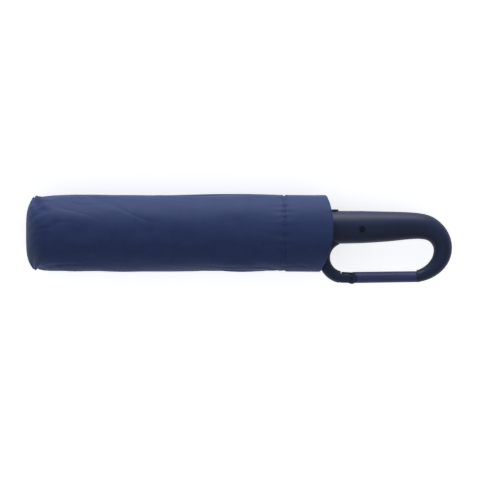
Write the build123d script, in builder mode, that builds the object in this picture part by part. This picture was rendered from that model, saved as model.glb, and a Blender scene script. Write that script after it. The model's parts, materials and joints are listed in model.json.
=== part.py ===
"""Compact three-fold umbrella, closed in its fabric sleeve, with a clip-loop handle.

The umbrella lies on its sleeve. X runs along the shaft from the tip to the handle, Y runs across it
in the plane of the loop, and Z points up. The origin is on the sleeve's flat underside, below the
shaft and halfway along the sleeve. All lengths are in millimetres.
"""
from build123d import *
import os
from math import cos, radians, sin

# Shaft: three nested tubes on one axis
AXIS_HEIGHT = 26.0
TUBE_WALL = 0.5
LOWER_TUBE_RADIUS = 7.0
MIDDLE_TUBE_RADIUS = 6.2
UPPER_TUBE_RADIUS = 5.4
LOWER_TUBE_SPAN = (-91.0, 146.0)
MIDDLE_TUBE_SPAN = (-91.0, 94.0)
UPPER_TUBE_SPAN = (-103.0, 88.0)
SHAFT_PLUG_START = 98.0
PLUG_LEAD = 1.0
MAIN_SPRING_START = -84.0
MAIN_SPRING_RADIUS = 4.1
MAIN_SPRING_WIRE = 0.6
MAIN_SPRING_TURNS = 22

# Rib frame: eight ribs that fold in three, with one strut each
RIB_COUNT = 8
FIRST_RIB_ANGLE = 22.5
HINGE_RADIUS = 9.5
CROWN_HINGE_X = -98.0
STRUT_LENGTH = 88.0
RUNNER_HINGE_X = CROWN_HINGE_X + 2 * STRUT_LENGTH
TOP_RIB_LENGTH = 170.0
TOP_FOLD_X = CROWN_HINGE_X + TOP_RIB_LENGTH
OUTER_FOLD_X = -86.0
RIB_END_X = 97.0
RIB_HEIGHT = 2.2
LAYER_STEP = 3.0
TOP_FOLD_RADIUS = HINGE_RADIUS + LAYER_STEP / 2
MIDDLE_RIB_RADIUS = HINGE_RADIUS + LAYER_STEP
OUTER_FOLD_RADIUS = MIDDLE_RIB_RADIUS + LAYER_STEP / 2
OUTER_RIB_RADIUS = MIDDLE_RIB_RADIUS + LAYER_STEP

# Each link has its own layer, measured sideways from the rib's plane through the shaft
CENTRE_LAYER = (-1.0, 1.0)
STRUT_LAYER = (-3.1, -1.3)
MIDDLE_LAYER = (1.3, 3.1)
STRUT_PIVOT_SIDE = (STRUT_LAYER[0] + STRUT_LAYER[1]) / 2
EYE_RADIUS = 1.6
HINGE_EYE_RADIUS = 1.3
FOLD_PIN_RADIUS = 0.8
HINGE_PIN_RADIUS = 0.7
PIN_CLEARANCE = 0.06
RIB_END_GROOVE = 6.0
RIB_GROOVE_WIDTH = 1.1
RIB_GROOVE_DEPTH = 1.6
RIB_GROOVE_DROP = 0.7
RIB_TIP_RADIUS = 1.5
RIB_TIP_LENGTH = 5.0
RIB_TIP_ROUND = 1.2

# Crown and runner
HUB_RADIUS = 11.2
HUB_SLOT_FLOOR = 7.9
HUB_SLOT_SIDE = 0.3
HUB_SLOT_DEPTH = 10.0
CROWN_LID = 1.5
CROWN_TOP_RADIUS = 8.0
CROWN_FRONT = 2.6
CROWN_BACK = 2.8
CROWN_SLOT = (-2.2, 3.0)
CROWN_PIN_SPAN = (-2.3, 2.3)
CAP_RADIUS = 8.6
CAP_LENGTH = 6.2
CAP_ROUND = 4.5
CAP_RIM_CHAMFER = 0.8
RUNNER_BORE = 7.3
RUNNER_FRONT = 2.7
RUNNER_HUB_BACK = 4.0
RUNNER_HUB_TAPER = 1.5
RUNNER_SLOT = (-2.9, 2.0)
RUNNER_PIN_HALF = 1.9
RUNNER_NECK_RADIUS = 9.4
RUNNER_FLANGE_RADIUS = 10.8
RUNNER_FLANGE_LENGTH = 3.0
RUNNER_FLANGE_TAPER = 1.0
RUNNER_END_X = 97.5

# Sleeve and the folded canopy inside it
SLEEVE_WIDTH = 57.0
SLEEVE_HEIGHT = 2 * AXIS_HEIGHT
SLEEVE_CORNER = 20.0
SLEEVE_SIDE_SHIFT = -4.5
SLEEVE_WALL = 1.0
SLEEVE_END_X = -114.5
SLEEVE_END_ROUND = 9.0
SLEEVE_BLANK_LENGTH = 235.0
MOUTH_TOP = (110.0, 26.0)
MOUTH_MIDDLE = (114.5, 0.0)
MOUTH_BOTTOM = (104.6, -35.0)
MOUTH_CUT_END = 130.0
CANOPY_GAP = 2.6
CANOPY_SPAN = (-108.0, 99.0)
CANOPY_BORE = 18.2
CANOPY_NECK_BORE = 12.0
CANOPY_NECK_END = -90.0
CANOPY_END_ROUND = 6.0
STRAP_SPAN = (34.0, 58.0)
STRAP_THICKNESS = 1.0

# Handle: a tapering grip that turns back into a loop, closed by a gate
COLLAR_X = 100.0
ARM_CENTRE = (124.0, -23.0)
ARM_RADIUS = 14.9
ARM_HALF_WIDTH = 4.5
ARM_HALF_THICKNESS = 4.9
ARM_START_ANGLE = 110.0
ARM_SWEEP = 160.0
GATE_PIN_PLACE = (129.6, -38.8)
GATE_PIN_RADIUS = 1.2
CHEEK_RADIUS = 3.9
CHEEK_TOP = -35.2
CHEEK_STEP_HEIGHT = 4.0
CHEEK_INSET = 0.2
GATE_GAP = 0.35
NOSE_X = 178.7
NOSE_TRIM_LENGTH = 10.0
LOOP_BAR_SPAN = (-45.0, -30.0)
FORK_HALF_GAP = 2.1
FORK_START_X = 120.2
FORK_END_X = 135.6
CHEEK_STEP_START_X = 121.5
CUT_THROUGH = 20.0
SCREW_PLACE = (137.2, -1.8)
SCREW_HEAD_RADIUS = 2.3
SCREW_HEAD_GAP = 0.2
SCREW_HEAD_HEIGHT = 1.5
SCREW_SEAT = 9.2
SCREW_SHANK_RADIUS = 1.4
SCREW_SHANK_END = -3.5
SCREW_RECESS = (3.0, 0.7)
SCREW_RECESS_FLOOR = 9.9
BUTTON_X = 113.0
BUTTON_SIZE = (14.0, 7.6)
BUTTON_SEAT_Y = 9.7
BUTTON_TOP_Y = 13.3
BUTTON_ROUND = 0.7
BUTTON_POCKET_FLOOR = 7.8
BUTTON_POCKET_GAP = 0.4
BUTTON_SPRING_RADIUS = 1.8
BUTTON_SPRING_WIRE = 0.22
BUTTON_SPRING_TURNS = 2
SPRING_END_GAP = 0.05

LOOP_PLANE = Plane((0, 0, AXIS_HEIGHT))
SHAFT_AXIS = Axis((0, 0, AXIS_HEIGHT), (1, 0, 0))
SHAFT_SIDE_PLANE = Plane((0, 0, AXIS_HEIGHT), x_dir=(1, 0, 0), z_dir=(0, -1, 0))

pieces = {}


def across(x, side_shift=0.0):
    """The plane square to the shaft at x, with local x along +Y and local y up."""
    return Plane((x, side_shift, AXIS_HEIGHT), x_dir=(0, 1, 0), z_dir=(1, 0, 0))


def rib_plane(angle, side):
    """The plane of a rib: local x along the shaft, local y outwards, moved sideways by side."""
    normal = (0, -sin(radians(angle)), cos(radians(angle)))
    return Plane((0, 0, AXIS_HEIGHT), x_dir=(1, 0, 0), z_dir=normal).offset(side)


def rib_angles():
    return [FIRST_RIB_ANGLE + 360 / RIB_COUNT * i for i in range(RIB_COUNT)]


# ---------------------------------------------------------------- shaft tubes
def screw_hole():
    """Cut the handle screw's hole, straight down through the shaft axis, from the part being built."""
    with BuildSketch(LOOP_PLANE.offset(SCREW_SHANK_END)) as hole:
        with Locations(SCREW_PLACE):
            Circle(SCREW_SHANK_RADIUS)
    extrude(hole.sketch, amount=CUT_THROUGH, mode=Mode.SUBTRACT)


def shaft_tube(radius, span, held_by_screw=False):
    with BuildPart() as tube:
        with BuildSketch(across(span[0])):
            Circle(radius)
            Circle(radius - TUBE_WALL, mode=Mode.SUBTRACT)
        extrude(amount=span[1] - span[0])
        if held_by_screw:
            screw_hole()
    return tube


pieces["lower_tube"] = shaft_tube(LOWER_TUBE_RADIUS, LOWER_TUBE_SPAN, held_by_screw=True)
pieces["middle_tube"] = shaft_tube(MIDDLE_TUBE_RADIUS, MIDDLE_TUBE_SPAN)
pieces["upper_tube"] = shaft_tube(UPPER_TUBE_RADIUS, UPPER_TUBE_SPAN)

with BuildPart() as shaft_plug:
    with BuildSketch(across(SHAFT_PLUG_START)):
        Circle(LOWER_TUBE_RADIUS - TUBE_WALL)
    extrude(amount=LOWER_TUBE_SPAN[1] - SHAFT_PLUG_START)
    chamfer(shaft_plug.faces().sort_by(Axis.X)[0].edges(), PLUG_LEAD)
    screw_hole()
pieces["shaft_plug"] = shaft_plug


def coil(plane, radius, wire, pitch, turns):
    """A round-wire coil spring that stands on a plane."""
    with BuildPart() as spring:
        with BuildLine():
            centre_line = Helix(pitch, pitch * turns, radius, center=plane.origin, direction=plane.z_dir)
        with BuildSketch(Plane(origin=centre_line @ 0, z_dir=centre_line % 0)):
            Circle(wire)
        sweep(path=centre_line)
    return spring


main_spring_height = SHAFT_PLUG_START - MAIN_SPRING_START - MAIN_SPRING_WIRE - 4 * SPRING_END_GAP
pieces["main_spring"] = coil(
    across(MAIN_SPRING_START),
    MAIN_SPRING_RADIUS,
    MAIN_SPRING_WIRE,
    main_spring_height / MAIN_SPRING_TURNS,
    MAIN_SPRING_TURNS,
)

# ---------------------------------------------------------------- crown, runner and their pins
def cut_hub_slots(start, end, layer):
    """Cut one slot for each link into the hub being built, open outwards."""
    low, high = layer[0] - HUB_SLOT_SIDE, layer[1] + HUB_SLOT_SIDE
    for angle in rib_angles():
        with BuildSketch(rib_plane(angle, low)) as slot:
            with Locations(((start + end) / 2, HUB_SLOT_FLOOR + HUB_SLOT_DEPTH / 2)):
                Rectangle(end - start, HUB_SLOT_DEPTH)
        extrude(slot.sketch, amount=high - low, mode=Mode.SUBTRACT)


def cut_pin_holes(x, low, high):
    for angle in rib_angles():
        with BuildSketch(rib_plane(angle, low)) as hole:
            with Locations((x, HINGE_RADIUS)):
                Circle(HINGE_PIN_RADIUS)
        extrude(hole.sketch, amount=high - low, mode=Mode.SUBTRACT)


def hinge_pins(x, low, high):
    """One short pin for each link, as a group of separate solids."""
    with BuildPart() as pins:
        for angle in rib_angles():
            with BuildSketch(rib_plane(angle, low)):
                with Locations((x, HINGE_RADIUS)):
                    Circle(HINGE_PIN_RADIUS)
            extrude(amount=high - low)
    return pins


runner_pin_span = (STRUT_PIVOT_SIDE - RUNNER_PIN_HALF, STRUT_PIVOT_SIDE + RUNNER_PIN_HALF)
crown_top_x = UPPER_TUBE_SPAN[0] - CROWN_LID

with BuildPart() as crown:
    with BuildSketch(SHAFT_SIDE_PLANE):
        with BuildLine():
            Polyline(
                (crown_top_x, 0),
                (crown_top_x, CROWN_TOP_RADIUS),
                (CROWN_HINGE_X - CROWN_FRONT, HUB_RADIUS),
                (CROWN_HINGE_X + CROWN_BACK, HUB_RADIUS),
                (CROWN_HINGE_X + CROWN_BACK, UPPER_TUBE_RADIUS),
                (UPPER_TUBE_SPAN[0], UPPER_TUBE_RADIUS),
                (UPPER_TUBE_SPAN[0], 0),
                close=True,
            )
        make_face()
    revolve(axis=SHAFT_AXIS)
    cut_hub_slots(CROWN_HINGE_X + CROWN_SLOT[0], CROWN_HINGE_X + CROWN_SLOT[1], CENTRE_LAYER)
    cut_pin_holes(CROWN_HINGE_X, *CROWN_PIN_SPAN)
pieces["crown"] = crown
pieces["crown_pins"] = hinge_pins(CROWN_HINGE_X, *CROWN_PIN_SPAN)

with BuildPart() as tip_cap:
    with BuildSketch(across(crown_top_x - CAP_LENGTH)):
        Circle(CAP_RADIUS)
    extrude(amount=CAP_LENGTH)
    fillet(tip_cap.faces().sort_by(Axis.X)[0].edges(), CAP_ROUND)
    chamfer(tip_cap.faces().sort_by(Axis.X)[-1].edges(), CAP_RIM_CHAMFER)
pieces["tip_cap"] = tip_cap

runner_hub_end = RUNNER_HINGE_X + RUNNER_HUB_BACK
runner_flange_start = RUNNER_END_X - RUNNER_FLANGE_LENGTH
with BuildPart() as runner:
    with BuildSketch(SHAFT_SIDE_PLANE):
        with BuildLine():
            Polyline(
                (RUNNER_HINGE_X - RUNNER_FRONT, RUNNER_BORE),
                (RUNNER_HINGE_X - RUNNER_FRONT, HUB_RADIUS),
                (runner_hub_end, HUB_RADIUS),
                (runner_hub_end + RUNNER_HUB_TAPER, RUNNER_NECK_RADIUS),
                (runner_flange_start - RUNNER_FLANGE_TAPER, RUNNER_NECK_RADIUS),
                (runner_flange_start, RUNNER_FLANGE_RADIUS),
                (RUNNER_END_X, RUNNER_FLANGE_RADIUS),
                (RUNNER_END_X, RUNNER_BORE),
                close=True,
            )
        make_face()
    revolve(axis=SHAFT_AXIS)
    cut_hub_slots(RUNNER_HINGE_X + RUNNER_SLOT[0], RUNNER_HINGE_X + RUNNER_SLOT[1], STRUT_LAYER)
    cut_pin_holes(RUNNER_HINGE_X, *runner_pin_span)
pieces["runner"] = runner
pieces["runner_pins"] = hinge_pins(RUNNER_HINGE_X, *runner_pin_span)


# ---------------------------------------------------------------- ribs and struts
def bar(start_x, end_x, radius):
    """A straight bar's outline in a rib's plane, centred at a distance from the shaft axis."""
    with Locations(((start_x + end_x) / 2, radius)):
        Rectangle(end_x - start_x, RIB_HEIGHT)


def eye(x, radius, size):
    with Locations((x, radius)):
        Circle(size)


def eye_hole(angle, layer, x, radius, pin_radius):
    with BuildSketch(rib_plane(angle, layer[0])) as hole:
        eye(x, radius, pin_radius + PIN_CLEARANCE)
    extrude(hole.sketch, amount=layer[1] - layer[0], mode=Mode.SUBTRACT)


for number, angle in enumerate(rib_angles(), start=1):
    with BuildPart() as top_rib:
        with BuildSketch(rib_plane(angle, CENTRE_LAYER[0])):
            bar(CROWN_HINGE_X, TOP_FOLD_X, HINGE_RADIUS)
            eye(CROWN_HINGE_X, HINGE_RADIUS, HINGE_EYE_RADIUS)
            eye(TOP_FOLD_X, TOP_FOLD_RADIUS, EYE_RADIUS)
        extrude(amount=CENTRE_LAYER[1] - CENTRE_LAYER[0])
        with BuildSketch(rib_plane(angle, CENTRE_LAYER[1])):
            eye(TOP_FOLD_X, TOP_FOLD_RADIUS, FOLD_PIN_RADIUS)
        extrude(amount=MIDDLE_LAYER[1] - CENTRE_LAYER[1])
        # the rib is a channel, open towards the shaft
        with BuildSketch(rib_plane(angle, -RIB_GROOVE_WIDTH / 2)):
            with Locations(((CROWN_HINGE_X + TOP_FOLD_X) / 2, HINGE_RADIUS - RIB_GROOVE_DROP)):
                Rectangle(TOP_RIB_LENGTH - 2 * RIB_END_GROOVE, RIB_GROOVE_DEPTH)
        extrude(amount=RIB_GROOVE_WIDTH, mode=Mode.SUBTRACT)
        eye_hole(angle, CENTRE_LAYER, CROWN_HINGE_X, HINGE_RADIUS, HINGE_PIN_RADIUS)
    pieces[f"top_rib_{number}"] = top_rib

    with BuildPart() as middle_rib:
        with BuildSketch(rib_plane(angle, MIDDLE_LAYER[0])):
            bar(OUTER_FOLD_X, TOP_FOLD_X, MIDDLE_RIB_RADIUS)
            eye(TOP_FOLD_X, TOP_FOLD_RADIUS, EYE_RADIUS)
            eye(OUTER_FOLD_X, OUTER_FOLD_RADIUS, EYE_RADIUS)
        extrude(amount=MIDDLE_LAYER[1] - MIDDLE_LAYER[0])
        with BuildSketch(rib_plane(angle, CENTRE_LAYER[0])):
            eye(OUTER_FOLD_X, OUTER_FOLD_RADIUS, FOLD_PIN_RADIUS)
        extrude(amount=MIDDLE_LAYER[0] - CENTRE_LAYER[0])
        eye_hole(angle, MIDDLE_LAYER, TOP_FOLD_X, TOP_FOLD_RADIUS, FOLD_PIN_RADIUS)
    pieces[f"middle_rib_{number}"] = middle_rib

    with BuildPart() as outer_rib:
        with BuildSketch(rib_plane(angle, CENTRE_LAYER[0])):
            bar(OUTER_FOLD_X, RIB_END_X, OUTER_RIB_RADIUS)
            eye(OUTER_FOLD_X, OUTER_FOLD_RADIUS, EYE_RADIUS)
        extrude(amount=CENTRE_LAYER[1] - CENTRE_LAYER[0])
        eye_hole(angle, CENTRE_LAYER, OUTER_FOLD_X, OUTER_FOLD_RADIUS, FOLD_PIN_RADIUS)
    pieces[f"outer_rib_{number}"] = outer_rib

    with BuildPart() as rib_tip:
        with BuildSketch(across(RIB_END_X)):
            with PolarLocations(OUTER_RIB_RADIUS, 1, start_angle=angle):
                Circle(RIB_TIP_RADIUS)
        extrude(amount=RIB_TIP_LENGTH)
        fillet(rib_tip.faces().sort_by(Axis.X)[-1].edges(), RIB_TIP_ROUND)
    pieces[f"rib_tip_{number}"] = rib_tip

    with BuildPart() as strut:
        with BuildSketch(rib_plane(angle, STRUT_LAYER[0])):
            bar(RUNNER_HINGE_X - STRUT_LENGTH, RUNNER_HINGE_X, HINGE_RADIUS)
            eye(RUNNER_HINGE_X - STRUT_LENGTH, HINGE_RADIUS, HINGE_EYE_RADIUS)
            eye(RUNNER_HINGE_X, HINGE_RADIUS, HINGE_EYE_RADIUS)
        extrude(amount=STRUT_LAYER[1] - STRUT_LAYER[0])
        eye_hole(angle, STRUT_LAYER, RUNNER_HINGE_X, HINGE_RADIUS, HINGE_PIN_RADIUS)
    pieces[f"strut_{number}"] = strut


# ---------------------------------------------------------------- soft goods
def pack_outline(x, inset):
    """The sleeve's cross-section at x, drawn inset from its outside."""
    with BuildSketch(across(x, SLEEVE_SIDE_SHIFT)) as outline:
        RectangleRounded(SLEEVE_WIDTH - 2 * inset, SLEEVE_HEIGHT - 2 * inset, SLEEVE_CORNER - inset)
    return outline.sketch


with BuildPart() as canopy:
    extrude(pack_outline(CANOPY_SPAN[0], CANOPY_GAP), amount=CANOPY_SPAN[1] - CANOPY_SPAN[0])
    fillet(canopy.faces().sort_by(Axis.X)[0].edges(), CANOPY_END_ROUND)
    with BuildSketch(across(CANOPY_SPAN[0])):
        Circle(CANOPY_NECK_BORE)
    extrude(amount=CANOPY_NECK_END - CANOPY_SPAN[0], mode=Mode.SUBTRACT)
    with BuildSketch(across(CANOPY_NECK_END)):
        Circle(CANOPY_BORE)
    extrude(amount=CANOPY_SPAN[1] - CANOPY_NECK_END, mode=Mode.SUBTRACT)
pieces["canopy"] = canopy

with BuildPart() as tie_strap:
    strap_width = STRAP_SPAN[1] - STRAP_SPAN[0]
    extrude(pack_outline(STRAP_SPAN[0], CANOPY_GAP - STRAP_THICKNESS), amount=strap_width)
    extrude(pack_outline(STRAP_SPAN[0], CANOPY_GAP), amount=strap_width, mode=Mode.SUBTRACT)
pieces["tie_strap"] = tie_strap

with BuildPart() as sleeve_inside:
    extrude(pack_outline(SLEEVE_END_X + SLEEVE_WALL, SLEEVE_WALL), amount=SLEEVE_BLANK_LENGTH)
    fillet(sleeve_inside.faces().sort_by(Axis.X)[0].edges(), SLEEVE_END_ROUND - SLEEVE_WALL)

with BuildPart() as sleeve:
    extrude(pack_outline(SLEEVE_END_X, 0), amount=SLEEVE_BLANK_LENGTH)
    fillet(sleeve.faces().sort_by(Axis.X)[0].edges(), SLEEVE_END_ROUND)
    add(sleeve_inside.part, mode=Mode.SUBTRACT)
    # the mouth is cut back where it is drawn over the handle's arm
    with BuildSketch(Plane.XY):
        with BuildLine():
            ThreePointArc(MOUTH_TOP, MOUTH_MIDDLE, MOUTH_BOTTOM)
            Polyline(
                MOUTH_BOTTOM, (MOUTH_CUT_END, MOUTH_BOTTOM[1]), (MOUTH_CUT_END, MOUTH_TOP[1]), MOUTH_TOP
            )
        make_face()
    extrude(amount=SLEEVE_HEIGHT, mode=Mode.SUBTRACT)
pieces["sleeve"] = sleeve

# ---------------------------------------------------------------- handle
# the centre line of the grip and the loop, in the loop's plane
LOOP_POINTS = [
    (COLLAR_X, -0.1),
    (120.0, -0.2),
    (140.0, 0.0),
    (160.0, 0.5),
    (176.0, 0.9),
    (187.5, -0.9),
    (194.8, -6.4),
    (198.3, -15.2),
    (196.6, -24.2),
    (190.9, -31.4),
    (183.0, -35.9),
    (174.0, -37.5),
]
# how the loop's section tapers: share of its length, half width and half thickness
LOOP_TAPER = [
    (0.0, 12.2, 11.6),
    (0.13, 12.4, 11.6),
    (0.27, 12.1, 11.2),
    (0.41, 11.2, 10.3),
    (0.52, 10.1, 9.3),
    (0.6, 9.3, 8.5),
    (0.66, 8.1, 7.8),
    (0.72, 7.2, 7.1),
    (0.8, 6.5, 6.4),
    (0.87, 5.6, 5.8),
    (0.93, 4.8, 5.1),
    (1.0, 4.3, 4.6),
]
LOOP_SECTION_COUNT = 30


def loop_size(share):
    """The loop's half width and half thickness at a share of its length."""
    for (start, width_0, thick_0), (end, width_1, thick_1) in zip(LOOP_TAPER, LOOP_TAPER[1:]):
        if share <= end:
            part_way = (share - start) / (end - start)
            return width_0 + (width_1 - width_0) * part_way, thick_0 + (thick_1 - thick_0) * part_way
    return LOOP_TAPER[-1][1:]


def loop_box(x_span, y_span, half_thickness):
    """Cut a box that is centred on the loop's plane from the part being built."""
    with BuildSketch(LOOP_PLANE) as outline:
        with Locations(((x_span[0] + x_span[1]) / 2, (y_span[0] + y_span[1]) / 2)):
            Rectangle(x_span[1] - x_span[0], y_span[1] - y_span[0])
    extrude(outline.sketch, amount=half_thickness, both=True, mode=Mode.SUBTRACT)


def button_plane(y):
    """The plane square to the button's travel at y, with local x along the shaft."""
    return Plane((BUTTON_X, y, AXIS_HEIGHT), x_dir=(1, 0, 0), z_dir=(0, 1, 0))


pin_x, pin_y = GATE_PIN_PLACE
bar_centre_y = ARM_CENTRE[1] - ARM_RADIUS

with BuildPart() as handle_body:
    with BuildLine(LOOP_PLANE) as loop_line:
        Spline(*LOOP_POINTS)
    for i in range(LOOP_SECTION_COUNT + 1):
        share = i / LOOP_SECTION_COUNT
        ahead = loop_line.wire() % share
        sideways = Vector(0, 0, 1).cross(ahead)
        with BuildSketch(Plane(loop_line.wire() @ share, x_dir=sideways, z_dir=ahead)):
            Ellipse(*loop_size(share))
    loft()
    loop_box((NOSE_X - NOSE_TRIM_LENGTH, NOSE_X), LOOP_BAR_SPAN, CUT_THROUGH / 2)
    # the arm comes down from the grip and turns into the bar that carries the gate's hinge
    with BuildLine(LOOP_PLANE) as arm_path:
        CenterArc(ARM_CENTRE, ARM_RADIUS, ARM_START_ANGLE, ARM_SWEEP)
        Line((ARM_CENTRE[0], bar_centre_y), (pin_x, bar_centre_y))
    arm_start = arm_path.wire() @ 0
    arm_heading = arm_path.wire() % 0
    with BuildSketch(Plane(arm_start, x_dir=(0, 0, 1), z_dir=arm_heading)):
        Ellipse(ARM_HALF_THICKNESS, ARM_HALF_WIDTH)
    sweep(path=arm_path.wire())
    # two cheeks with round ends, and a step above them for the gate's tail
    with BuildSketch(LOOP_PLANE):
        with Locations(GATE_PIN_PLACE):
            Circle(CHEEK_RADIUS)
    extrude(amount=ARM_HALF_THICKNESS - CHEEK_INSET, both=True)
    loop_box(
        (CHEEK_STEP_START_X, FORK_END_X), (CHEEK_TOP, CHEEK_TOP + CHEEK_STEP_HEIGHT), CUT_THROUGH / 2
    )
    loop_box((FORK_START_X, FORK_END_X), (LOOP_BAR_SPAN[0], CHEEK_TOP + 1), FORK_HALF_GAP)
    with BuildSketch(LOOP_PLANE):
        with Locations(GATE_PIN_PLACE):
            Circle(GATE_PIN_RADIUS)
    extrude(amount=CUT_THROUGH / 2, both=True, mode=Mode.SUBTRACT)
    # the shaft's socket, the screw's seat and the button's pocket
    with BuildSketch(across(COLLAR_X - 1)):
        Circle(LOWER_TUBE_RADIUS)
    extrude(amount=LOWER_TUBE_SPAN[1] - COLLAR_X + 1, mode=Mode.SUBTRACT)
    screw_hole()
    with BuildSketch(LOOP_PLANE.offset(SCREW_SEAT)):
        with Locations(SCREW_PLACE):
            Circle(SCREW_HEAD_RADIUS + SCREW_HEAD_GAP)
    extrude(amount=CUT_THROUGH, mode=Mode.SUBTRACT)
    with BuildSketch(button_plane(BUTTON_POCKET_FLOOR)):
        SlotOverall(BUTTON_SIZE[0] + 2 * BUTTON_POCKET_GAP, BUTTON_SIZE[1] + 2 * BUTTON_POCKET_GAP)
    extrude(amount=CUT_THROUGH, mode=Mode.SUBTRACT)
pieces["handle_body"] = handle_body

with BuildPart() as handle_screw:
    with BuildSketch(LOOP_PLANE.offset(SCREW_SHANK_END)):
        with Locations(SCREW_PLACE):
            Circle(SCREW_SHANK_RADIUS)
    extrude(amount=SCREW_SEAT - SCREW_SHANK_END)
    with BuildSketch(LOOP_PLANE.offset(SCREW_SEAT)):
        with Locations(SCREW_PLACE):
            Circle(SCREW_HEAD_RADIUS)
    extrude(amount=SCREW_HEAD_HEIGHT)
    with BuildSketch(LOOP_PLANE.offset(SCREW_RECESS_FLOOR)):
        with Locations(SCREW_PLACE):
            Rectangle(*SCREW_RECESS)
            Rectangle(*reversed(SCREW_RECESS))
    extrude(amount=SCREW_HEAD_HEIGHT, mode=Mode.SUBTRACT)
pieces["handle_screw"] = handle_screw

with BuildPart() as push_button:
    with BuildSketch(button_plane(BUTTON_SEAT_Y)):
        SlotOverall(*BUTTON_SIZE)
    extrude(amount=BUTTON_TOP_Y - BUTTON_SEAT_Y)
    fillet(push_button.faces().sort_by(Axis.Y)[-1].edges(), BUTTON_ROUND)
pieces["push_button"] = push_button

button_spring_low = BUTTON_POCKET_FLOOR + BUTTON_SPRING_WIRE + SPRING_END_GAP
button_spring_high = BUTTON_SEAT_Y - BUTTON_SPRING_WIRE - SPRING_END_GAP
pieces["button_spring"] = coil(
    button_plane(button_spring_low),
    BUTTON_SPRING_RADIUS,
    BUTTON_SPRING_WIRE,
    (button_spring_high - button_spring_low) / BUTTON_SPRING_TURNS,
    BUTTON_SPRING_TURNS,
)

# ---------------------------------------------------------------- gate
GATE_LEFT_X = 130.6
GATE_RIGHT_X = NOSE_X - 0.4
GATE_LEFT_Y = -37.95
GATE_RIGHT_Y = -37.3
GATE_LEFT_SIZE = (4.25, 4.6)
GATE_RIGHT_SIZE = (4.15, 4.5)
TONGUE_SPAN = (-1.85, 0.1)
TONGUE_EYE_RADIUS = 3.3
TONGUE_CORNER_RADIUS = 0.9
TAIL_PLACE = (122.9, -34.6)
TONGUE_ROOT_PLACES = ((135.0, -35.3), (135.0, -40.6))
GATE_SPRING_WIRE = 0.22
GATE_SPRING_RADIUS = 1.75
GATE_SPRING_PITCH = 0.52
GATE_SPRING_TURNS = 2
GATE_SPRING_LIFT = 0.45

with BuildPart() as gate:
    with BuildSketch(across(GATE_LEFT_X, GATE_LEFT_Y)):
        Ellipse(*GATE_LEFT_SIZE)
    with BuildSketch(across(GATE_RIGHT_X, GATE_RIGHT_Y)):
        Ellipse(*GATE_RIGHT_SIZE)
    loft()
    with BuildSketch(LOOP_PLANE):
        with Locations(GATE_PIN_PLACE):
            Circle(CHEEK_RADIUS + GATE_GAP)
    extrude(amount=CUT_THROUGH / 2, both=True, mode=Mode.SUBTRACT)
    with BuildSketch(LOOP_PLANE.offset(TONGUE_SPAN[0])):
        with Locations(GATE_PIN_PLACE):
            Circle(TONGUE_EYE_RADIUS)
        with Locations(TAIL_PLACE, *TONGUE_ROOT_PLACES):
            Circle(TONGUE_CORNER_RADIUS)
        make_hull()
    extrude(amount=TONGUE_SPAN[1] - TONGUE_SPAN[0])
    with BuildSketch(LOOP_PLANE):
        with Locations(GATE_PIN_PLACE):
            Circle(GATE_PIN_RADIUS + PIN_CLEARANCE)
    extrude(amount=CUT_THROUGH / 2, both=True, mode=Mode.SUBTRACT)
pieces["gate"] = gate

with BuildPart() as gate_pin:
    with BuildSketch(LOOP_PLANE):
        with Locations(GATE_PIN_PLACE):
            Circle(GATE_PIN_RADIUS)
    extrude(amount=ARM_HALF_THICKNESS - CHEEK_INSET / 2, both=True)
pieces["gate_pin"] = gate_pin

pieces["gate_spring"] = coil(
    Plane((pin_x, pin_y, AXIS_HEIGHT + TONGUE_SPAN[1] + GATE_SPRING_LIFT)),
    GATE_SPRING_RADIUS,
    GATE_SPRING_WIRE,
    GATE_SPRING_PITCH,
    GATE_SPRING_TURNS,
)

# ---------------------------------------------------------------- files
os.makedirs("parts", exist_ok=True)
for name, piece in pieces.items():
    piece.part.label = name
    export_step(piece.part, f"parts/{name}.step")
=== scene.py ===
import json
import math

import bpy
import numpy as np
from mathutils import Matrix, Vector, noise

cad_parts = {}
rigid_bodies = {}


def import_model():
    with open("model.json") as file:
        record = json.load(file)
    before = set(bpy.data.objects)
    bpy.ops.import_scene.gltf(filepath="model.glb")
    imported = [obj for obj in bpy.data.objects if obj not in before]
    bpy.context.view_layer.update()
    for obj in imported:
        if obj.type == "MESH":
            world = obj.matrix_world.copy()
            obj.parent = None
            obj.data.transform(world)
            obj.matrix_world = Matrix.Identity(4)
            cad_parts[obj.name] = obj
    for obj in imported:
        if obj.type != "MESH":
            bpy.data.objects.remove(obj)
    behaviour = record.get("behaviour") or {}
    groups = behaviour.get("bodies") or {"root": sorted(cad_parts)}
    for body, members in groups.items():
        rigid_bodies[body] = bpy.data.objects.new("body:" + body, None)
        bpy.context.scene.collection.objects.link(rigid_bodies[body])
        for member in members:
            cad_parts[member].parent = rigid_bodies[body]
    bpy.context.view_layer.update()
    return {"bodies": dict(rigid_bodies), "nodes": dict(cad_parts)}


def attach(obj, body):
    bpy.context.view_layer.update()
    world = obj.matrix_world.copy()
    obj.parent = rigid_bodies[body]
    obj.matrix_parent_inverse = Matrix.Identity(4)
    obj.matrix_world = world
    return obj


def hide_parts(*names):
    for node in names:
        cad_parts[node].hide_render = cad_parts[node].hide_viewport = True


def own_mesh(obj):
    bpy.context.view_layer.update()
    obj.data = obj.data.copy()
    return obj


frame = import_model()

# Sizes are in millimetres until a mesh is made. X runs along the shaft towards the handle.
MM = 0.001
AXIS_Z = 26.0

# ---------------------------------------------------------------- camera, floor and light
CAMERA_CENTRE = (0.04586, -0.00975)
CAMERA_HEIGHT = 1.53
LENS = 150
SENSOR_WIDTH = 36
SKY_COLOUR = (0.93, 0.96, 1.0, 1)
SKY_STRENGTH = 0.5
WHITE = (1, 1, 1, 1)
BLACK = (0, 0, 0, 1)

scene = bpy.context.scene
scene.view_settings.view_transform = "Standard"

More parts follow.
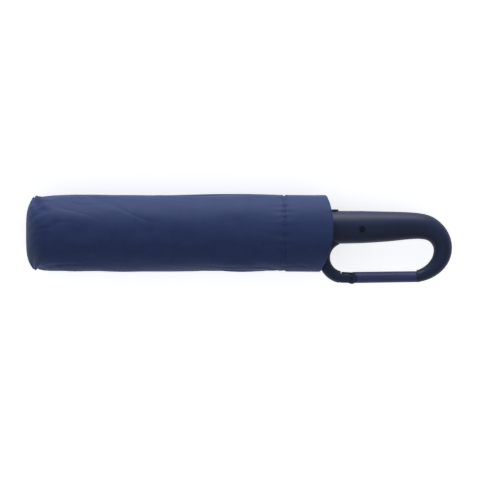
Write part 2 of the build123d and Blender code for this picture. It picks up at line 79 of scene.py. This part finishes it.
camera = bpy.data.objects.new("camera", bpy.data.cameras.new("camera"))
camera.location = (*CAMERA_CENTRE, CAMERA_HEIGHT)
camera.data.lens = LENS
camera.data.sensor_width = SENSOR_WIDTH
camera.data.dof.use_dof = False
scene.collection.objects.link(camera)
scene.camera = camera

world = bpy.data.worlds.new("studio")
world.use_nodes = True
sky = world.node_tree.nodes["Background"]
sky.inputs["Color"].default_value = SKY_COLOUR
sky.inputs["Strength"].default_value = SKY_STRENGTH
backdrop = world.node_tree.nodes.new("ShaderNodeBackground")
backdrop.inputs["Color"].default_value = WHITE
seen = world.node_tree.nodes.new("ShaderNodeLightPath")
choice = world.node_tree.nodes.new("ShaderNodeMixShader")
for source, target in (
    (seen.outputs["Is Camera Ray"], choice.inputs[0]),
    (sky.outputs[0], choice.inputs[1]),
    (backdrop.outputs[0], choice.inputs[2]),
    (choice.outputs[0], world.node_tree.nodes["World Output"].inputs[0]),
):
    world.node_tree.links.new(source, target)
scene.world = world


def area_light(name, place, target, size, watts, colour=(1, 1, 1)):
    """A square soft box at place, turned to target. Returns the light's object."""
    data = bpy.data.lights.new(name, "AREA")
    data.size, data.energy, data.color = size, watts, colour
    light = bpy.data.objects.new(name, data)
    light.location = place
    light.rotation_euler = (Vector(target) - Vector(place)).to_track_quat("-Z", "Y").to_euler()
    scene.collection.objects.link(light)
    return light


key = area_light("key", (0.0, 1.5, 0.36), (0.04, 0, 0.026), 0.9, 34)
area_light("fill", (0.2, -0.7, 1.6), (0.04, 0, 0), 1.4, 3)


# ---------------------------------------------------------------- material helpers
SEAM_ALLOWANCE = 4.0      # width of doubled cloth beside a seam or a hem
SEAM_DARK = (0.55, 0.55, 0.6, 1)


def linear(r, g, b):
    """A colour from 0-255 screen values to the linear values that shaders take."""
    return tuple(
        c / 12.92 if c <= 0.04045 else ((c + 0.055) / 1.055) ** 2.4
        for c in (r / 255, g / 255, b / 255)
    ) + (1.0,)


class Nodes:
    """A material's node tree, with short ways to add and join nodes."""

    def __init__(self, name):
        self.material = bpy.data.materials.new(name)
        self.material.use_nodes = True
        self.tree = self.material.node_tree
        self.shader = self.tree.nodes["Principled BSDF"]

    def add(self, kind, **settings):
        node = self.tree.nodes.new(kind)
        for key, value in settings.items():
            setattr(node, key, value)
        return node

    def join(self, source, target):
        self.tree.links.new(source, target)

    def noise(self, coordinates, scale, detail=3.0, roughness=0.5):
        node = self.add("ShaderNodeTexNoise")
        node.inputs["Scale"].default_value = scale
        node.inputs["Detail"].default_value = detail
        node.inputs["Roughness"].default_value = roughness
        self.join(coordinates, node.inputs["Vector"])
        return node.outputs["Fac"]

    def ramp(self, value, stops):
        node = self.add("ShaderNodeValToRGB")
        ramp = node.color_ramp
        while len(ramp.elements) < len(stops):
            ramp.elements.new(0.5)
        for element, (place, colour) in zip(ramp.elements, stops):
            element.position, element.color = place, colour
        self.join(value, node.inputs["Fac"])
        return node.outputs["Color"]

    def maths(self, operation, a, b):
        node = self.add("ShaderNodeMath", operation=operation)
        for socket, value in zip(node.inputs, (a, b)):
            if isinstance(value, (int, float)):
                socket.default_value = value
            else:
                self.join(value, socket)
        return node.outputs[0]

    def rough(self, value, low, high):
        node = self.add("ShaderNodeMapRange")
        node.inputs["To Min"].default_value = low
        node.inputs["To Max"].default_value = high
        self.join(value, node.inputs["Value"])
        self.join(node.outputs["Result"], self.shader.inputs["Roughness"])

    def bump(self, height, distance, strength=1.0):
        node = self.add("ShaderNodeBump")
        node.inputs["Distance"].default_value = distance
        node.inputs["Strength"].default_value = strength
        self.join(height, node.inputs["Height"])
        self.join(node.outputs["Normal"], self.shader.inputs["Normal"])


def object_coordinates(m):
    return m.add("ShaderNodeTexCoord").outputs["Object"]


def moulded(name, colour, shade, rough, grain=0.00004, sheen=0.0):
    """Fine-grained moulded plastic: slow colour drift, a spark-eroded grain and handling marks."""
    m = Nodes(name)
    place = object_coordinates(m)
    drift = m.noise(place, 35, 4)
    m.join(m.ramp(drift, [(0.3, shade), (0.7, colour)]), m.shader.inputs["Base Color"])
    grain_noise = m.noise(place, 2600, 2, 0.6)
    m.rough(m.noise(place, 120, 6, 0.6), rough - 0.05, rough + 0.07)
    m.bump(grain_noise, grain)
    m.shader.inputs["Specular IOR Level"].default_value = 0.25
    m.shader.inputs["Sheen Weight"].default_value = sheen
    return m.material


def drawn_metal(name, colour, shade, rough, metallic=1.0):
    """Metal drawn or brushed along X: streaks along the length and a few dull patches."""
    m = Nodes(name)
    place = object_coordinates(m)
    stretch = m.add("ShaderNodeMapping")
    stretch.inputs["Scale"].default_value = (0.03, 1, 1)
    m.join(place, stretch.inputs["Vector"])
    streaks = m.noise(stretch.outputs["Vector"], 1800, 3, 0.6)
    m.join(m.ramp(streaks, [(0.35, shade), (0.65, colour)]), m.shader.inputs["Base Color"])
    m.rough(m.noise(place, 90, 5), rough - 0.06, rough + 0.1)
    m.bump(streaks, 0.000005)
    m.shader.inputs["Metallic"].default_value = metallic
    return m.material


def woven(name, colour, shade, rough, weave_mm, crease=0.00012, sheen=0.1):
    """Plain-woven polyester: warp and weft in the cloth's own millimetres, slubs, and soft creases
    whose hollows get painted shade.
    """
    m = Nodes(name)
    cloth = m.add("ShaderNodeAttribute", attribute_name="cloth_mm").outputs["Vector"]
    waves = []
    # A wave texture turns by 20 radians for each unit of its coordinate at scale 1
    for direction in ("X", "Y"):
        wave = m.add("ShaderNodeTexWave", bands_direction=direction)
        wave.inputs["Scale"].default_value = 2 * math.pi / (20 * weave_mm)
        wave.inputs["Distortion"].default_value = 0.4
        m.join(cloth, wave.inputs["Vector"])
        waves.append(wave.outputs["Fac"])
    weave = m.maths("MULTIPLY", m.maths("MAXIMUM", *waves), 0.25)
    slubs = m.noise(cloth, 0.9, 3, 0.65)
    creases = m.noise(cloth, 0.11, 4, 0.55)
    # Painted shade: the colour darkens where the crease noise dips, so the hollows of the creases are
    # painted darker. The slubs add real tone that differs at random.
    tone = m.maths("ADD", m.maths("MULTIPLY", creases, 0.6), m.maths("MULTIPLY", slubs, 0.4))
    dyed_with_painted_crease_shade = m.ramp(tone, [(0.32, shade), (0.68, colour)])
    from_seam = m.add("ShaderNodeAttribute", attribute_name="seam_mm").outputs["Fac"]
    seam_share = m.maths("DIVIDE", from_seam, SEAM_ALLOWANCE * 2)
    # A seam is darker at its line and at the edge of its doubled cloth, which is a share of 0.5
    seam_tone = m.ramp(
        seam_share,
        [(0.0, SEAM_DARK), (0.06, WHITE), (0.44, WHITE), (0.5, SEAM_DARK), (0.56, WHITE)],
    )
    shaded = m.add("ShaderNodeMix", data_type="RGBA", blend_type="MULTIPLY")
    inputs = [socket for socket in shaded.inputs if socket.enabled]
    inputs[0].default_value = 1.0
    m.join(dyed_with_painted_crease_shade, inputs[1])
    m.join(seam_tone, inputs[2])
    m.join(next(s for s in shaded.outputs if s.enabled), m.shader.inputs["Base Color"])
    m.rough(slubs, rough - 0.05, rough + 0.08)
    doubled = m.ramp(seam_share, [(0.46, WHITE), (0.52, BLACK)])
    height = m.maths("ADD", weave, m.maths("MULTIPLY", creases, 2.0))
    height = m.maths("ADD", height, m.maths("MULTIPLY", doubled, 1.5))
    m.bump(height, crease)
    m.shader.inputs["Sheen Weight"].default_value = sheen
    m.shader.inputs["Sheen Roughness"].default_value = 0.35
    m.shader.inputs["Sheen Tint"].default_value = linear(120, 145, 215)
    m.shader.inputs["Specular IOR Level"].default_value = 0.2
    return m.material


MATERIALS = {
    "tube": drawn_metal("tube", linear(196, 198, 202), linear(176, 178, 182), 0.3),
    "rib_steel": drawn_metal("rib_steel", linear(58, 60, 64), linear(38, 40, 44), 0.38),
    "rib_aluminium": drawn_metal("rib_aluminium", linear(186, 188, 192), linear(160, 162, 166), 0.34),
    "rib_fibreglass": drawn_metal("rib_fibreglass", linear(40, 41, 44), linear(26, 27, 30), 0.42, 0.0),
    "black_plastic": moulded("black_plastic", linear(30, 31, 34), linear(22, 23, 26), 0.45),
    "handle_plastic": moulded("handle_plastic", linear(21, 32, 62), linear(18, 29, 57), 0.5),
    "gate_plastic": moulded("gate_plastic", linear(43, 51, 92), linear(39, 46, 86), 0.48),
    "button_plastic": moulded("button_plastic", linear(22, 33, 62), linear(19, 30, 57), 0.5),
    "pin_steel": drawn_metal("pin_steel", linear(60, 64, 76), linear(44, 47, 58), 0.35),
    "dark_screw": drawn_metal("dark_screw", linear(40, 43, 55), linear(26, 28, 37), 0.34),
    "canopy_fabric": woven("canopy_fabric", linear(36, 50, 90), linear(29, 43, 81), 0.6, 0.5),
    "sleeve_fabric": woven("sleeve_fabric", linear(35, 50, 91), linear(28, 43, 82), 0.62, 0.6),
}
for node in frame["nodes"].values():
    slot_name = node.data.materials[0].name.split(".")[0]
    node.data.materials.clear()
    node.data.materials.append(MATERIALS[slot_name])


# ---------------------------------------------------------------- mesh helpers
def grid_faces(rows, columns, closed):
    """Quads of a grid whose columns run round a closed section, or end at two edges."""
    last = columns if closed else columns - 1
    return [
        (
            r * columns + c,
            r * columns + (c + 1) % columns,
            (r + 1) * columns + (c + 1) % columns,
            (r + 1) * columns + c,
        )
        for r in range(rows - 1)
        for c in range(last)
    ]


def mesh_object(name, points, faces, material, cloth=None, seam=None):
    """A smooth mesh from points in millimetres. Cloth has its own flat coordinates, and how far each
    point is from a seam, as attributes."""
    mesh = bpy.data.meshes.new(name)
    points = np.asarray(points, float).reshape(-1, 3)
    mesh.from_pydata([tuple(p) for p in points * MM], [], faces)
    mesh.validate()
    mesh.shade_smooth()
    mesh.materials.append(material)
    if cloth is not None:
        vector_attribute(mesh, "cloth_mm", cloth)
        distance = mesh.attributes.new("seam_mm", "FLOAT", "POINT")
        distance.data.foreach_set("value", np.asarray(seam, np.float32).ravel())
    piece = bpy.data.objects.new(name, mesh)
    scene.collection.objects.link(piece)
    return piece


def vector_attribute(mesh, name, values):
    attribute = mesh.attributes.new(name, "FLOAT_VECTOR", "POINT")
    attribute.data.foreach_set("vector", np.asarray(values, np.float32).reshape(-1, 3).ravel())


def thicken(piece, thickness):
    """Gives a sheet its thickness, inwards, and keeps the result as the piece's own mesh."""
    solid = piece.modifiers.new("thickness", "SOLIDIFY")
    solid.thickness, solid.offset, solid.use_even_offset = thickness, -1, False
    final = bpy.data.meshes.new_from_object(
        piece.evaluated_get(bpy.context.evaluated_depsgraph_get())
    )
    piece.modifiers.clear()
    piece.data = final


def smooth_step(value, start, end):
    t = np.clip((value - start) / (end - start), 0, 1)
    return t * t * (3 - 2 * t)


# ---------------------------------------------------------------- sleeve
SLEEVE_MIDDLE = -4.75     # Y of the middle of its section
HALF_WIDTH = 28.75
HALF_HEIGHT = 26.6
SECTION_POWER = 2.3       # 2 is an ellipse, and more is squarer
END_X = -114.9
SLEEVE_LENGTH = 229.2
END_PUFF = 21.0           # length over which the closed end comes down to its seam
SEAM_X = 78.8
HEM_X = SEAM_X + 1.0
CLOTH = 0.5
FLOOR_GAP = 0.02          # least height of the cloth and its stitches above the floor
SLEEVE_COLUMNS = 200


def section(width, height, angle):
    """Offsets across and up of a rounded section."""
    c, s = np.cos(angle), np.sin(angle)
    across = width * np.sign(c) * np.abs(c) ** (2 / SECTION_POWER)
    up = height * np.sign(s) * np.abs(s) ** (2 / SECTION_POWER)
    return across, up


def wrinkle(x, around):
    """Height of the cloth's shallow folds at x along the sleeve and around it, in millimetres."""
    slope = around * 0.055 - x * 0.013
    broad = noise.noise(Vector((x * 0.011, slope * 0.8, 3.1)))
    fold = noise.noise(Vector((x * 0.02 + around * 0.012, slope * 1.5, 11.7)))
    where = noise.noise(Vector((x * 0.013 + 4.0, around * 0.02, 8.2)))
    crumple = noise.noise(Vector((x * 0.05, around * 0.07, 5.3)))
    ridge = max(0.0, 1 - abs(fold) / 0.12) * max(0.0, where + 0.1)
    middle = noise.noise(Vector((x * 0.026 + 9.0, around * 0.05 + x * 0.008, 1.4)))
    return (
        0.9 * broad
        + 0.55 * middle
        + 1.2 * fold * max(0.0, where + 0.3)
        - 1.1 * ridge
        + 0.26 * crumple
    )


def sleeve_points(columns):
    """Rows of the sleeve's outside from its closed end to its mouth, then back inside as the hem's
    turning, and the cloth's own coordinates."""
    puff = END_PUFF * (1 - np.cos(np.linspace(0.03, math.pi / 2, 26)))
    run = np.concatenate([puff[:-1], np.linspace(END_PUFF, SLEEVE_LENGTH, 290)])
    inside = [(SLEEVE_LENGTH + 0.5, 0.35), (SLEEVE_LENGTH + 0.5, 0.9), (SLEEVE_LENGTH, 1.25)]
    inside += [(s, 1.3) for s in np.linspace(SLEEVE_LENGTH - 3, SLEEVE_LENGTH - 26, 9)]
    stations = [(s, 0.0) for s in run] + inside
    angle = np.linspace(0, 2 * math.pi, columns, endpoint=False)
    points = np.zeros((len(stations), columns, 3))
    cloth = np.zeros_like(points)
    for row, (s, sunk) in enumerate(stations):
        height = HALF_HEIGHT * math.sqrt(max(0.0, 1 - max(0.0, 1 - s / END_PUFF) ** 2))
        width = HALF_WIDTH * (1 - 0.05 * max(0.0, 1 - s / 9) ** 2)
        width += 0.25 * math.sin(s * 0.045 + 1.0)
        across, up = section(width - sunk, max(height, 0.9) - sunk, angle)
        share = across / HALF_WIDTH
        bow = np.where(share > 0, 6.4, 6.8) * np.abs(share) ** 4 * max(0.0, 1 - s / 40)
        mouth = (-0.1 + 2.35 * share - 6.5 * share**2) * smooth_step(s, 170, SLEEVE_LENGTH)
        x = END_X + s + bow + mouth
        steps = np.hypot(np.diff(across, append=across[0]), np.diff(up, append=up[0]))
        around = np.concatenate([[0], np.cumsum(steps)[:-1]])
        lift = np.array([wrinkle(a, b) for a, b in zip(x, around)])
        calm = 1 - 0.55 * smooth_step(x, SEAM_X - 8, SEAM_X + 4)
        calm = calm * smooth_step(np.full_like(x, s), 0, 16)
        near_seam = np.exp(-np.abs(x - SEAM_X) / 4.5)
        pucker = np.array(
            [math.cos(a * 1.02 + 3.5 * noise.noise(Vector((a * 0.06, 0.4, 0.0)))) for a in around]
        )
        patchy = np.array([0.6 + noise.noise(Vector((a * 0.11, 9.0, s * 0.05))) for a in around])
        lift = lift * calm + 0.3 * pucker * patchy * near_seam
        lift -= 0.55 * np.exp(-(((x - SEAM_X) / 0.8) ** 2))
        lift += 0.3 * smooth_step(x, HEM_X - 0.6, HEM_X + 1.2)
        gather = np.cos(around * 0.78 + 0.7) * max(0.0, 1 - s / 24) ** 2 * (1 if s > 0.5 else 0.4)
        inward = (1 - np.abs(share)) * HALF_WIDTH
        fan = np.arctan2(inward, s + 0.5)
        reach = np.exp(-((np.hypot(s - 2, inward) / 13) ** 2))
        lift += 0.3 * gather - 1.35 * reach * (0.7 + np.cos(fan * 7 + 1.2 * np.sign(share)))
        if sunk:
            lift = lift * 0.8
        out = np.stack([across / HALF_WIDTH**2, up / HALF_HEIGHT**2], 1)
        out /= np.linalg.norm(out, axis=1)[:, None] + 1e-9
        squashed = min(1.0, 0.25 + height / HALF_HEIGHT)
        y = SLEEVE_MIDDLE + across + out[:, 0] * lift * squashed
        z = AXIS_Z + up + out[:, 1] * lift * squashed
        z = np.maximum(0.5 * (z + np.sqrt(z * z + 0.8)) - 0.12, FLOOR_GAP)
        points[row] = np.stack([x, y, z], 1)
        cloth[row] = np.stack([np.full_like(x, s + sunk), around, np.zeros_like(x)], 1)
    return points, cloth


def make_sleeve():
    columns = SLEEVE_COLUMNS
    points, cloth = sleeve_points(columns)
    faces = grid_faces(len(points), columns, True)
    half = columns // 2
    faces += [(c, (-c) % columns, (-c - 1) % columns, c + 1) for c in range(1, half - 1)]
    faces += [(0, columns - 1, 1), (half - 1, half + 1, half)]
    seam = np.abs(points[..., 0] - SEAM_X) + SEAM_ALLOWANCE * 2
    piece = mesh_object("sleeve_cloth", points, faces, MATERIALS["sleeve_fabric"], cloth, seam)
    seam_row = int(np.argmin(np.abs(points[:300, half // 2, 0] - SEAM_X)))
    return piece, points[seam_row]


def make_stitches(line, material):
    """A row of thread stitches lying in the seam's groove, along a closed line of points."""
    steps = np.linalg.norm(np.diff(line, axis=0, append=line[:1]), axis=1)
    along = np.concatenate([[0], np.cumsum(steps)])
    ring = np.concatenate([line, line[:1]])
    middle = np.array([SEAM_X, SLEEVE_MIDDLE, AXIS_Z])
    pitch, length, radius, sides = 3.0, 2.1, 0.26, 6
    count = int(along[-1] / pitch)
    points, faces = [], []
    for k in range(count):
        start = k * along[-1] / count
        rings = []
        for t in np.linspace(0, 1, 6):
            at = start + t * length
            centre = np.array([np.interp(at, along, ring[:, i]) for i in range(3)])
            ahead = np.array([np.interp(at + 0.2, along, ring[:, i]) for i in range(3)]) - centre
            ahead /= np.linalg.norm(ahead)
            out = centre - middle
            out -= ahead * out.dot(ahead)
            out[0] = 0
            out /= np.linalg.norm(out)
            side = np.cross(ahead, out)
            fat = radius * math.sqrt(max(0.05, 1 - (2 * t - 1) ** 4))
            centre = centre + out * (0.3 - 0.3 * (2 * t - 1) ** 2)
            rings.append(
                [
                    centre + fat * (math.cos(a) * out + math.sin(a) * side)
                    for a in np.linspace(0, 2 * math.pi, sides, endpoint=False)
                ]
            )
        base = len(points)
        points += [p for r in rings for p in r]
        faces += [tuple(base + i for i in f) for f in grid_faces(6, sides, True)]
        faces += [tuple(base + i for i in reversed(range(sides)))]
        faces += [tuple(base + 5 * sides + i for i in range(sides))]
    points = np.array(points)
    points[:, 2] = np.maximum(points[:, 2], FLOOR_GAP)
    return mesh_object("sleeve_stitches", points, faces, material)


sleeve, seam_line = make_sleeve()
thicken(sleeve, CLOTH * MM)
THREAD = moulded("thread", linear(40, 54, 92), linear(32, 45, 80), 0.6, 0.00003, 0.2)
stitches = make_stitches(seam_line, THREAD)
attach(sleeve, "sleeve")
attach(stitches, "sleeve")
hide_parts("sleeve")
for piece in (sleeve, stitches):
    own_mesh(piece)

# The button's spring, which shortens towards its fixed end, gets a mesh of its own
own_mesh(frame["nodes"]["button_spring"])

# ---------------------------------------------------------------- canopy
RIBS = 8
GORE = 96                 # columns of the mesh from rib to rib
FIRST_RIB = math.radians(22.5)
GORE_ANGLE = math.radians(45)
OPENING_TRAVEL = 0.3      # how far the crown moves from folded to open, in metres
# The open canopy's line over a rib, as X and distance from the shaft, in the top shaft's frame
OPEN_LINE = [(-104.7, 7.6), (-103.4, 12.6), (-50.2, 172.7), (22.1, 314.0), (142.9, 458.9)]
# Length of cloth from the crown to the first, second and last hinge of a rib
FIRST_FOLD, SECOND_FOLD, CLOTH_LENGTH = 176.5, 334.5, 522.0
SCALLOP = 0.055           # how far the rim is cut back between ribs, as a share of the length
PLEATS = 24
FOLD_NEAR, FOLD_FAR = 74.0, -89.4
WRAP_START = 16.5
WRAP_RISE = 0.50          # how much a wrapped flap rises for each radian round the shaft
LAYER_GAP = 0.2


def curve_through(knots, values):
    """Smooth interpolation through points that share a rising parameter."""
    knots = np.array(knots, float)
    steps = np.concatenate([[0], np.cumsum(np.linalg.norm(np.diff(knots, axis=0), axis=1))])
    slopes = np.gradient(knots, steps, axis=0)
    values = np.clip(values, 0, 1) * steps[-1]
    i = np.clip(np.searchsorted(steps, values, side="right") - 1, 0, len(steps) - 2)
    h = (steps[i + 1] - steps[i])[..., None]
    t = (values - steps[i])[..., None] / h
    a, b = knots[i], knots[i + 1]
    return (
        (2 * t**3 - 3 * t**2 + 1) * a
        + (t**3 - 2 * t**2 + t) * h * slopes[i]
        + (-2 * t**3 + 3 * t**2) * b
        + (t**3 - t**2) * h * slopes[i + 1]
    )


def around_shaft(x, radius, angle):
    return np.stack([x, radius * np.cos(angle), AXIS_Z + radius * np.sin(angle)], -1)


def canopy_rows():
    """Lengths of cloth from the crown, closer together where the cloth turns."""
    return np.concatenate(
        [
            np.linspace(0, 16, 9)[:-1],
            np.linspace(16, FIRST_FOLD, 16)[:-1],
            np.linspace(FIRST_FOLD, SECOND_FOLD, 15)[:-1],
            np.linspace(SECOND_FOLD, SECOND_FOLD + 40, 22)[:-1],
            np.linspace(SECOND_FOLD + 40, CLOTH_LENGTH - 12, 22)[:-1],
            np.linspace(CLOTH_LENGTH - 12, CLOTH_LENGTH, 8),
        ]
    )


def chord_at(length):
    """Width of a gore at that length from the crown."""
    radius = curve_through(OPEN_LINE, np.asarray(length) / CLOTH_LENGTH)[..., 1]
    return 2 * radius * math.sin(GORE_ANGLE / 2)


def folded_point(length, share, rib):
    """Where a point of the cloth is when the canopy is folded and wrapped."""
    width = chord_at(length)
    start = FIRST_RIB + rib * GORE_ANGLE
    pleat = 2 * np.abs((share * PLEATS + 0.5) % 1 - 0.5)
    depth = width / (2 * PLEATS)
    spread = start + GORE_ANGLE * share
    # first layer, under the top rib
    x_one = -104.5 + (FOLD_NEAR + 104.5) * length / FIRST_FOLD
    over_hub = 3.3 * smooth_step(length, 0, 5) - 0.6 * smooth_step(length, 12, 24)
    r_one = 8.4 + over_hub - np.minimum(depth, 2.6) * pleat * smooth_step(length, 10, 30)
    # second layer, back towards the tip
    back = np.clip((length - FIRST_FOLD) / (SECOND_FOLD - FIRST_FOLD), 0, 1)
    x_two = FOLD_NEAR + (FOLD_FAR - FOLD_NEAR) * back
    near_fold = smooth_step(length, SECOND_FOLD - 14, SECOND_FOLD)
    shallow = np.minimum(depth, 0.8)
    pleat_two = pleat * (depth + (shallow - depth) * near_fold)
    r_two = 11.6 + 4.0 * back + 1.4 * near_fold - pleat_two
    # third layer, wrapped round the bundle as a doubled flap
    x_three = FOLD_FAR + (length - SECOND_FOLD) * (102.0 - FOLD_FAR) / (CLOTH_LENGTH - SECOND_FOLD)
    turn = np.where(
        share * width < (width + 14.7) / 2, share * width, (1 - share) * width
    )
    returning = share * width >= (width + 14.7) / 2
    sweep = (-WRAP_START + np.sqrt(WRAP_START**2 + 2 * WRAP_RISE * turn)) / WRAP_RISE
    base = start + np.where(returning, GORE_ANGLE, 0.0)
    wrapped = smooth_step(length, SECOND_FOLD + 2, SECOND_FOLD + 38)
    angle = spread + (base + sweep - spread) * wrapped
    r_wrap = WRAP_START + WRAP_RISE * sweep + np.where(returning, LAYER_GAP, 0.0)
    r_wrap = r_wrap - 0.25 * np.exp(-turn / 6)
    r_three = (17.0 - shallow * pleat) * (1 - wrapped) + r_wrap * wrapped
    second = length > FIRST_FOLD
    third = length > SECOND_FOLD
    x = np.where(third, x_three, np.where(second, x_two, x_one))
    radius = np.where(third, r_three, np.where(second, r_two, r_one))
    return around_shaft(x, radius, np.where(third, angle, spread))


def open_point(length, share, rib):
    """Where a point of the cloth is when the canopy is open: straight across from rib to rib."""
    line = curve_through(OPEN_LINE, length / CLOTH_LENGTH)
    start = FIRST_RIB + rib * GORE_ANGLE
    left = around_shaft(line[..., 0], line[..., 1], start)
    right = around_shaft(line[..., 0], line[..., 1], start + GORE_ANGLE)
    flat = left + (right - left) * share[..., None]
    rise = 0.01 * 4 * share * (1 - share) * line[..., 1]
    flat[..., 0] -= rise
    return flat


def opens_with_shaft(piece, opened):
    """Moves the piece from its folded points to its open ones as the top shaft travels out."""
    vector_attribute(piece.data, "opened", np.asarray(opened) * MM)
    tree = bpy.data.node_groups.new(piece.name + "_opening", "GeometryNodeTree")
    for way in ("INPUT", "OUTPUT"):
        tree.interface.new_socket("Geometry", in_out=way, socket_type="NodeSocketGeometry")
    add, join = tree.nodes.new, tree.links.new
    entry, leave = add("NodeGroupInput"), add("NodeGroupOutput")
    shaft = add("GeometryNodeObjectInfo")
    shaft.transform_space = "ORIGINAL"
    shaft.inputs["Object"].default_value = frame["bodies"]["top_shaft"]
    parts = add("ShaderNodeSeparateXYZ")
    share = add("ShaderNodeMapRange")
    share.inputs["From Min"].default_value = 0.0
    share.inputs["From Max"].default_value = -OPENING_TRAVEL
    target = add("GeometryNodeInputNamedAttribute")
    target.data_type = "FLOAT_VECTOR"
    target.inputs["Name"].default_value = "opened"
    mix = add("ShaderNodeMix")
    mix.data_type = "VECTOR"
    place = add("GeometryNodeSetPosition")
    join(entry.outputs[0], place.inputs["Geometry"])
    join(shaft.outputs["Location"], parts.inputs[0])
    join(parts.outputs["X"], share.inputs["Value"])
    factor = next(s for s in mix.inputs if s.enabled and s.name == "Factor")
    sides = [s for s in mix.inputs if s.enabled and s.name in ("A", "B")]
    join(share.outputs["Result"], factor)
    join(add("GeometryNodeInputPosition").outputs[0], sides[0])
    join(target.outputs["Attribute"], sides[1])
    join(next(s for s in mix.outputs if s.enabled), place.inputs["Position"])
    join(place.outputs["Geometry"], leave.inputs[0])
    piece.modifiers.new("opening", "NODES").node_group = tree


def make_canopy():
    rows = canopy_rows()
    column = np.arange(RIBS * GORE)
    rib, share = column // GORE, (column % GORE) / GORE
    length, share = np.meshgrid(rows, share, indexing="ij")
    cut = 1 - SCALLOP * 4 * share * (1 - share) * (length / CLOTH_LENGTH) ** 3
    third = smooth_step(length, SECOND_FOLD, CLOTH_LENGTH)
    length = length * (1 - (1 - cut) * third)
    rib = np.broadcast_to(rib, length.shape)
    folded = folded_point(length, share, rib)
    opened = open_point(length, share, rib)
    cloth = np.stack([length, (share + rib) * chord_at(length), np.zeros_like(length)], -1)
    from_rib = np.minimum(share, 1 - share) * chord_at(length)
    from_rim = (rows[-1] - rows)[:, None] + np.zeros_like(from_rib)
    seam = np.minimum(from_rib, from_rim)
    faces = grid_faces(len(rows), RIBS * GORE, True)
    piece = mesh_object("canopy_cloth", folded, faces, MATERIALS["canopy_fabric"], cloth, seam)
    opens_with_shaft(piece, opened.reshape(-1, 3))
    return piece


STRAP_X = (34.0, 58.0)
STRAP_RADIUS = 21.9
STRAP_LENGTH = 150.0


def make_strap():
    """The tie strap: round the wrapped canopy when folded, and lying along the inside of a gore
    from its rim when open."""
    turns = np.linspace(0, 1, 72)
    widths = np.linspace(0, 1, 7)
    t, w = np.meshgrid(turns, widths, indexing="ij")
    angle = math.radians(20) + t * STRAP_LENGTH / STRAP_RADIUS
    strap_width = STRAP_X[1] - STRAP_X[0]
    x = STRAP_X[0] + strap_width * w
    folded = around_shaft(x, STRAP_RADIUS + 0.55 * smooth_step(t, 0.86, 0.95), angle)
    back = CLOTH_LENGTH * (1 - SCALLOP) - 4 - t * STRAP_LENGTH
    share = 0.5 + (w - 0.5) * strap_width / chord_at(back)
    opened = open_point(back, share, 0)
    opened[..., 0] += 1.5
    cloth = np.stack([t * STRAP_LENGTH, w * strap_width, np.zeros_like(t)], -1)
    seam = np.minimum(w, 1 - w) * strap_width
    faces = grid_faces(len(turns), len(widths), False)
    piece = mesh_object("tie_strap_cloth", folded, faces, MATERIALS["canopy_fabric"], cloth, seam)
    opens_with_shaft(piece, opened.reshape(-1, 3))
    solid = piece.modifiers.new("thickness", "SOLIDIFY")
    solid.thickness, solid.offset = 0.4 * MM, 1
    return piece


canopy = make_canopy()
strap = make_strap()
for piece, node in ((canopy, "canopy"), (strap, "tie_strap")):
    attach(piece, "top_shaft")
    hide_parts(node)


# ---------------------------------------------------------------- floor
FLOOR_HALF = 6000.0
FLOOR_GLOW = 0.62
FLOOR_DROP = 470.0        # travel of the floor as the umbrella opens


def make_floor():
    """A pale plane under the object, which drops clear of the canopy as the umbrella opens."""
    half = FLOOR_HALF
    corners = [(-half, -half, 0), (half, -half, 0), (half, half, 0), (-half, half, 0)]
    m = Nodes("floor")
    tone = m.noise(object_coordinates(m), 0.7, 2)
    pale = m.ramp(tone, [(0.3, linear(246, 246, 246)), (0.7, linear(249, 249, 249))])
    m.join(pale, m.shader.inputs["Base Color"])
    m.shader.inputs["Roughness"].default_value = 0.9
    m.shader.inputs["Emission Color"].default_value = WHITE
    m.shader.inputs["Emission Strength"].default_value = FLOOR_GLOW
    floor = mesh_object("floor", corners, [(0, 1, 2, 3)], m.material)
    lowered = [(x, y, -FLOOR_DROP) for x, y, _ in corners]
    opens_with_shaft(floor, lowered)
    floor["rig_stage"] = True


make_floor()

# The low key light falls on the umbrella only, so that it leaves no long shadow on the floor
lit = bpy.data.collections.new("lit_by_key")
for piece in scene.objects:
    if piece.type == "MESH" and not piece.get("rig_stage"):
        lit.objects.link(piece)
key.light_linking.receiver_collection = lit
